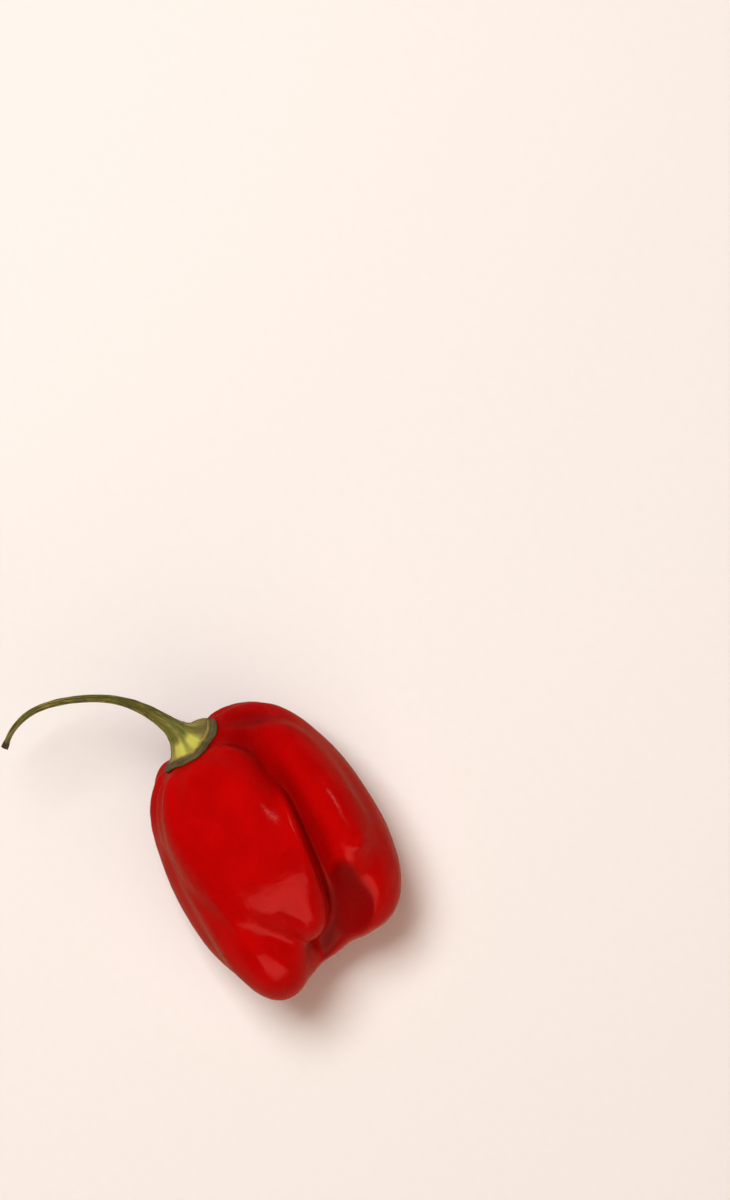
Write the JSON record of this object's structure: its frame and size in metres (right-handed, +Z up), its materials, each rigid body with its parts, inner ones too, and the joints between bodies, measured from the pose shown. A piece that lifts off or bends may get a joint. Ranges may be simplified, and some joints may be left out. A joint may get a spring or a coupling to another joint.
{
  "type": "habanero pepper",
  "caption": "Blocky red habanero pepper lying on its side, with deep-grooved lobes, a blunt blossom end, a ribbed green calyx and a long hooked stem.",
  "frame": {"origin": "middle of the bounding box's bottom face, on the surface that the pepper rests on", "axes": "+X from the stem end to the blossom end of the pod, +Y across the pod, +Z up"},
  "size_m": [0.0644, 0.0524, 0.0304],
  "materials": {
    "fruit_skin": "glossy waxy skin, saturated red",
    "stem_green": "olive green with yellow facets and brown dried edges, satin"
  },
  "bodies": {
    "root": {"fruit": "fruit_skin", "stem": "stem_green"}
  },
  "joints": []
}
